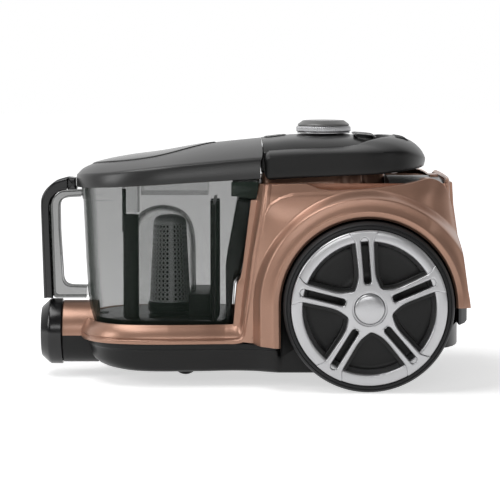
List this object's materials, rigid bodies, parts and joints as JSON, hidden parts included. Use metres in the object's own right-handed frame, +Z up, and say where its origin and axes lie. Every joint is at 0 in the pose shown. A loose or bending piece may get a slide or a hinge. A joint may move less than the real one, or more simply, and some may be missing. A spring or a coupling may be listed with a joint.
{
  "type": "canister vacuum cleaner",
  "caption": "Bagless canister vacuum cleaner with a copper body, smoky lift-out bin, swing-up carry handle, big spoked rear wheels and a front hose socket.",
  "frame": {"origin": "on the floor under the middle of the machine's overall length and width, where the wheels and the caster stand", "axes": "+X to the rear of the machine, -X to the hose socket, +Z up, -Y to the machine's left"},
  "size_m": [0.436, 0.3, 0.263],
  "materials": {
    "copper": "moulded plastic with satin metallic copper paint",
    "black_satin": "fine-grained satin black moulding",
    "black_gloss": "polished black",
    "grey_satin": "satin dark grey moulding",
    "silver_trim": "silver lacquered plastic with bright edges",
    "tyre_rubber": "matt soft tread",
    "soft_rubber": "matt rubber",
    "motor_alloy": "pressed and turned alloy casing",
    "steel": "turned or pressed steel",
    "smoky_clear": "clear smoky grey, polished",
    "filter_foam": "open-cell foam",
    "filter_paper": "pleated filter paper in a frame",
    "circuit_board": "coated board"
  },
  "bodies": {
    "base": {"chassis_pan": "black_satin", "body_shell": "copper", "rear_deck": "grey_satin", "control_panel": "black_gloss", "speed_control_board": "circuit_board", "handle_pin_left": "steel", "handle_pin_right": "steel", "hose_inlet_ring": "black_gloss", "inlet_cover": "copper", "inlet_duct": "black_satin", "inlet_seal": "soft_rubber", "pre_filter": "filter_foam", "motor_housing": "grey_satin", "suction_motor": "motor_alloy", "motor_mount_front": "soft_rubber", "motor_mount_rear": "soft_rubber", "reel_spindle": "steel", "reel_spring_case": "black_satin", "hepa_filter": "filter_paper", "rear_bumper": "soft_rubber", "cord_outlet": "soft_rubber", "axle_left": "steel", "axle_right": "steel"},
    "bin": {"bin_shell": "smoky_clear", "bin_handle_frame": "smoky_clear", "bin_handle_grip": "black_gloss", "inlet_tube": "black_satin", "cyclone_bell": "smoky_clear", "mesh_filter": "grey_satin", "filter_base": "black_satin", "separator_wall": "black_satin", "lid_hinge_block": "black_satin"},
    "lid": {"bin_lid": "black_satin", "lid_inlay": "black_gloss", "lid_liner": "black_satin", "lid_seal": "soft_rubber"},
    "latch": {"lid_latch": "black_gloss"},
    "handle": {"carry_handle": "black_satin", "handle_grip": "soft_rubber"},
    "knob": {"knob_body": "black_satin", "knob_grip_ring": "silver_trim", "knob_cap": "grey_satin"},
    "release_key": {"bin_release_button": "black_gloss"},
    "power_key": {"power_button": "black_gloss"},
    "rewind_key": {"rewind_button": "black_gloss"},
    "door": {"exhaust_door": "copper"},
    "door_latch": {"exhaust_latch": "copper"},
    "impeller": {"motor_impeller": "motor_alloy"},
    "reel": {"cord_reel_drum": "grey_satin"},
    "caster": {"caster_fork": "black_satin", "caster_axle": "steel"},
    "caster_roller": {"caster_wheel": "tyre_rubber"},
    "wheel_left": {"wheel_left_tyre": "tyre_rubber", "wheel_left_disc": "black_satin", "wheel_left_trim": "silver_trim", "wheel_left_cap": "silver_trim"},
    "wheel_right": {"wheel_right_tyre": "tyre_rubber", "wheel_right_disc": "black_satin", "wheel_right_trim": "silver_trim", "wheel_right_cap": "silver_trim"}
  },
  "joints": [
    {"name": "bin_lift", "type": "slide", "parent": "base", "child": "bin", "axis": [0, 0, 1], "range_m": [0, 0.2]},
    {"name": "lid_hinge", "type": "hinge", "parent": "bin", "child": "lid", "pos_m": [-0.018, 0, 0.2345], "axis": [0, 1, 0], "range_deg": [0, 70]},
    {"name": "latch_press", "type": "slide", "parent": "bin", "child": "latch", "axis": [0, 0, -1], "range_m": [0, 0.0025], "stiffness_N_per_m": 700},
    {"name": "handle_pivot", "type": "hinge", "parent": "base", "child": "handle", "pos_m": [0.0315, 0, 0.22], "axis": [0, -1, 0], "range_deg": [0, 75]},
    {"name": "knob_turn", "type": "hinge", "parent": "base", "child": "knob", "pos_m": [0.072, 0, 0.25], "axis": [0, 0, -1], "range_deg": [0, 270]},
    {"name": "release_press", "type": "slide", "parent": "base", "child": "release_key", "axis": [0, 0, -1], "range_m": [0, 0.003], "stiffness_N_per_m": 700},
    {"name": "power_press", "type": "slide", "parent": "base", "child": "power_key", "axis": [0, 0, -1], "range_m": [0, 0.003], "stiffness_N_per_m": 700},
    {"name": "rewind_press", "type": "slide", "parent": "base", "child": "rewind_key", "axis": [0, 0, -1], "range_m": [0, 0.003], "stiffness_N_per_m": 700},
    {"name": "door_hinge", "type": "hinge", "parent": "base", "child": "door", "pos_m": [0.2121, 0, 0.092], "axis": [0, 1, 0], "range_deg": [0, 80]},
    {"name": "door_latch_press", "type": "slide", "parent": "base", "child": "door_latch", "axis": [0, 0, -1], "range_m": [0, 0.002], "stiffness_N_per_m": 700},
    {"name": "impeller_spin", "type": "hinge", "parent": "base", "child": "impeller", "pos_m": [0.05, -0.042, 0.1], "axis": [1, 0, 0], "continuous": true},
    {"name": "reel_spin", "type": "hinge", "parent": "base", "child": "reel", "pos_m": [0.105, 0.05, 0.102], "axis": [0, 1, 0], "continuous": true},
    {"name": "caster_swivel", "type": "hinge", "parent": "base", "child": "caster", "pos_m": [-0.078, 0, 0.03], "axis": [0, 0, 1], "continuous": true},
    {"name": "caster_roll", "type": "hinge", "parent": "caster", "child": "caster_roller", "pos_m": [-0.07, 0, 0.013], "axis": [0, 1, 0], "continuous": true},
    {"name": "wheel_left_roll", "type": "hinge", "parent": "base", "child": "wheel_left", "pos_m": [0.113, -0.12, 0.084], "axis": [0, 1, 0], "continuous": true},
    {"name": "wheel_right_roll", "type": "hinge", "parent": "base", "child": "wheel_right", "pos_m": [0.113, 0.12, 0.084], "axis": [0, 1, 0], "continuous": true}
  ]
}
